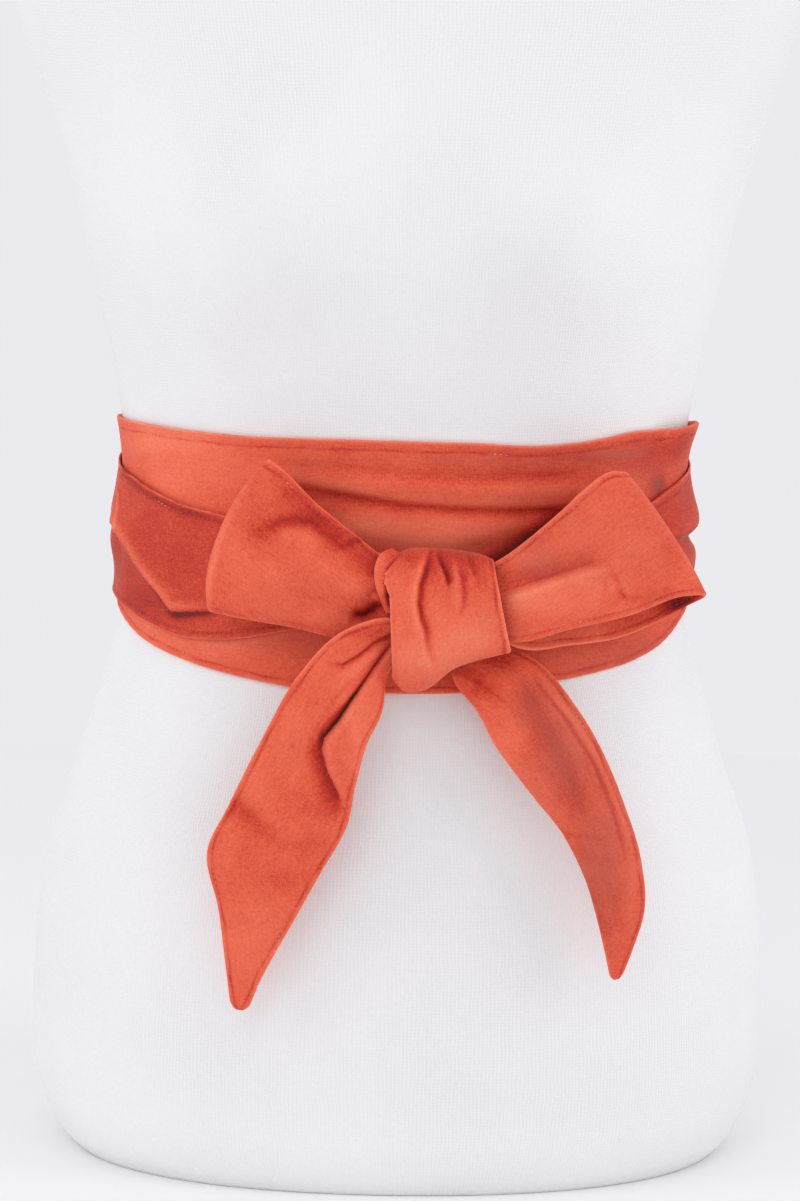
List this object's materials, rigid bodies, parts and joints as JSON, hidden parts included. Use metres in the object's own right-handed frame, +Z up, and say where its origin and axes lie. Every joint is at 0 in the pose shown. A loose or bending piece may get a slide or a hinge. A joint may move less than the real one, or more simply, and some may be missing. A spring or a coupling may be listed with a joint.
{
  "type": "velvet obi belt tied on a limbless dress form",
  "caption": "Wide soft obi belt wound twice round the waist of a limbless dress form and tied in a front bow with hanging pointed ends, to dress or show a waist.",
  "frame": {"origin": "centre of the dress form's flat base, on the surface it stands on", "axes": "+Z up, -Y the front with the bow, +X to the right as seen from the front"},
  "size_m": [0.4406, 0.317, 0.82],
  "materials": {
    "velvet": "soft coral-orange velvet with a short nap, sewn edges with one line of topstitch",
    "jersey": "matt white fine-ribbed jersey stretched over a smooth form"
  },
  "bodies": {
    "root": {"centre_panel": "velvet", "tie_to_right": "velvet", "tie_to_left": "velvet", "loop_left": "velvet", "loop_right": "velvet", "tail_left": "velvet", "tail_right": "velvet", "knot_band": "velvet", "knot_turn": "velvet", "knot_core": "velvet", "dress_form": "jersey"}
  },
  "joints": []
}
